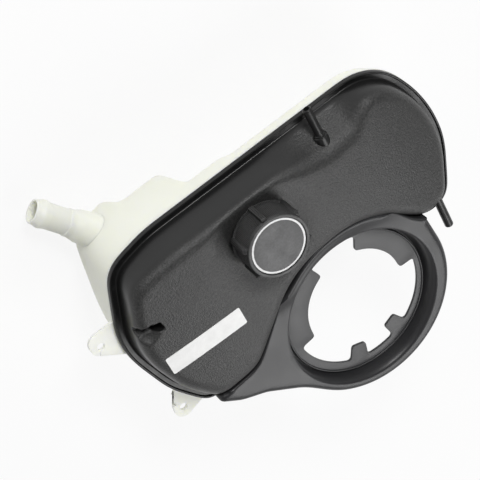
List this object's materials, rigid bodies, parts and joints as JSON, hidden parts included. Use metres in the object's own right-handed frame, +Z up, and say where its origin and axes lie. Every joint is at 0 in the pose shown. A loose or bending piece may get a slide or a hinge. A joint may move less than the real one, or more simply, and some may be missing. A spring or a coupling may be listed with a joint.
{
  "type": "coolant expansion tank",
  "caption": "Welded coolant expansion tank with a drafted black upper shell, translucent lower shell, toothed round collar panel, hose stubs and a screw cap holding spring valves.",
  "frame": {"origin": "midway between the two tab holes, on the tabs' underside, where the tank sits on its bracket", "axes": "+Z up along the tank cap's axis, +X towards the end with the outlet and tabs, +Y towards the round collar"},
  "size_m": [0.3613, 0.3213, 0.1433],
  "materials": {
    "natural_plastic": "translucent natural polypropylene, lightly waxy",
    "black_plastic": "fine grained moulded polypropylene",
    "panel_plastic": "smooth satin polypropylene",
    "cap_plastic": "matte black with fine vertical grain",
    "face_plastic": "matte black disc with a plain pale printed ring",
    "label_paper": "bare white film label",
    "valve_plastic": "glass filled nylon, matte",
    "seal_rubber": "matte",
    "plated_steel": "zinc plated",
    "spring_steel": "drawn stainless wire"
  },
  "bodies": {
    "tank": {"lower_shell": "natural_plastic", "upper_shell": "black_plastic", "collar_panel": "panel_plastic", "blank_label": "label_paper", "panel_screw_1": "plated_steel", "panel_screw_2": "plated_steel", "panel_screw_3": "plated_steel", "panel_screw_4": "plated_steel"},
    "cap": {"cap_shell": "cap_plastic", "cap_face": "face_plastic"},
    "insert": {"valve_housing": "valve_plastic", "neck_ring": "seal_rubber", "face_seal": "seal_rubber", "spring_keeper": "valve_plastic", "pressure_spring": "spring_steel"},
    "pressure_valve": {"pressure_plate": "plated_steel", "plate_seal": "seal_rubber", "vacuum_spring": "spring_steel"},
    "vacuum_valve": {"vacuum_poppet": "plated_steel", "stem_clip": "spring_steel"}
  },
  "joints": [
    {"name": "insert_lift", "type": "slide", "parent": "tank", "child": "insert", "axis": [0, 0, 1], "range_m": [0, 0.006]},
    {"name": "cap_turn", "type": "hinge", "parent": "insert", "child": "cap", "pos_m": [-0.145, -0.077, 0.0425], "axis": [0, 0, 1], "range_deg": [0, 540]},
    {"name": "pressure_relief", "type": "slide", "parent": "insert", "child": "pressure_valve", "axis": [0, 0, 1], "range_m": [0, 0.0025], "stiffness_N_per_m": 8000, "springref_m": -0.0044, "deforming": ["pressure_spring"]},
    {"name": "vacuum_relief", "type": "slide", "parent": "pressure_valve", "child": "vacuum_valve", "axis": [0, 0, -1], "range_m": [0, 0.0015], "stiffness_N_per_m": 400, "springref_m": -0.002, "deforming": ["vacuum_spring"]}
  ],
  "couplings": [
    {"joint": "insert_lift", "follows": "cap_turn", "m_per_rad": 0.0006366}
  ]
}
